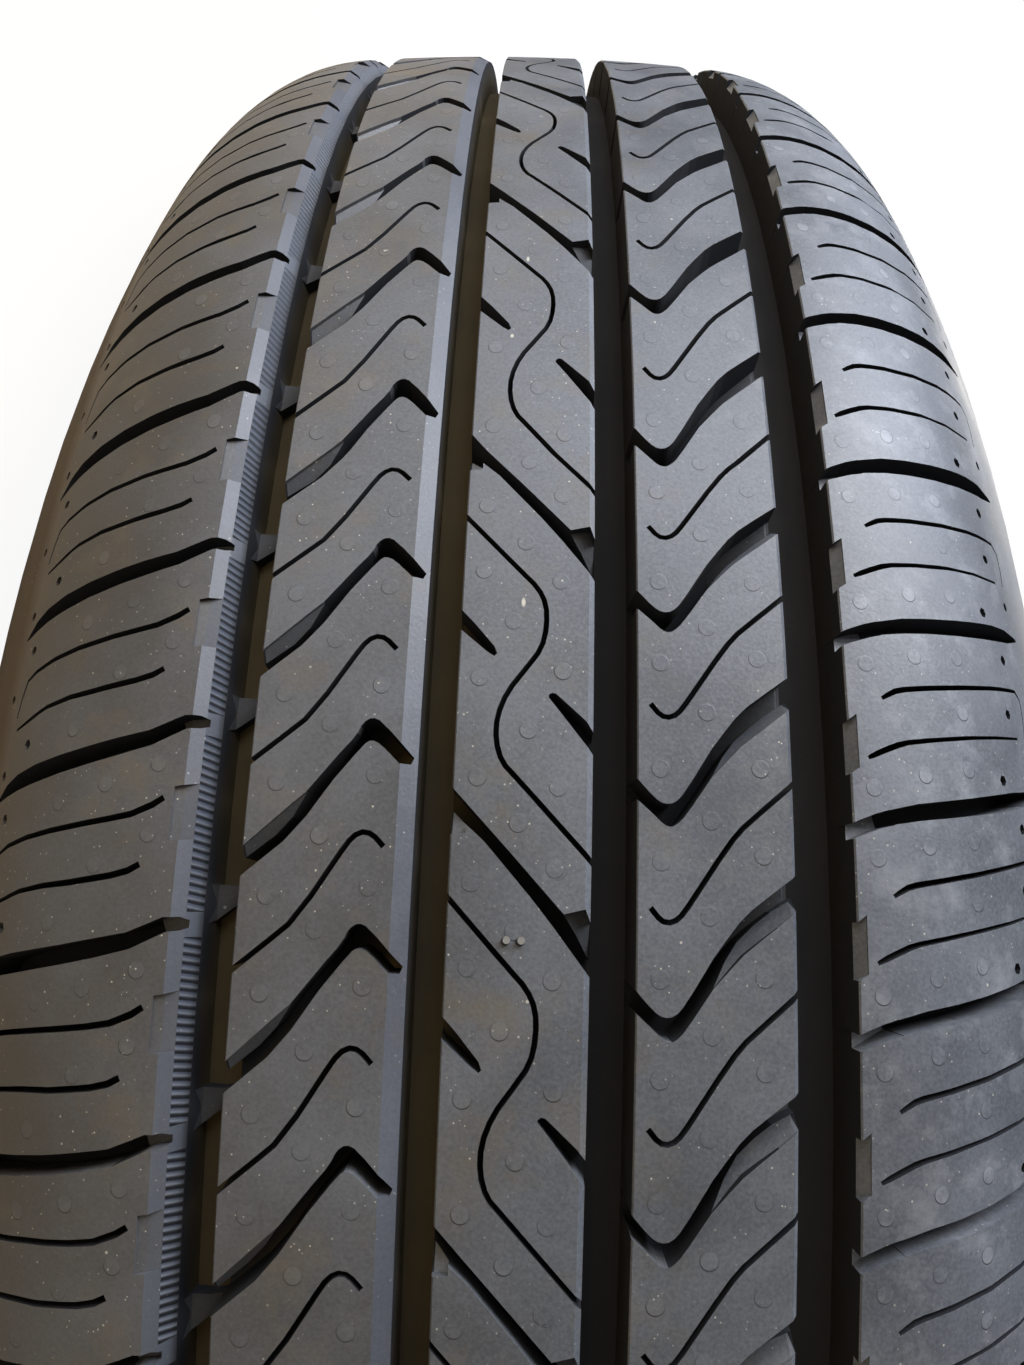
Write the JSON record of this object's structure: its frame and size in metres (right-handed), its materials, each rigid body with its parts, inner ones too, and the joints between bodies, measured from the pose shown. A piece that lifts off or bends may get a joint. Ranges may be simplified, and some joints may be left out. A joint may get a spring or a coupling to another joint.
{
  "type": "car tyre",
  "caption": "Moulded passenger car tyre with grooves round the tread, hooked cross grooves, slotted shoulders, plain sidewalls and rim beads.",
  "frame": {"origin": "on the wheel axis, in the plane of the floor that the lower sidewall's protector land lies on", "axes": "+Z along the wheel axis, up from the sidewall that the tyre lies on; +X and +Y across it"},
  "size_m": [0.5954, 0.5954, 0.201],
  "materials": {
    "tyre_rubber": "satin moulded rubber with light dust"
  },
  "bodies": {
    "root": {"tyre": "tyre_rubber"}
  },
  "joints": []
}
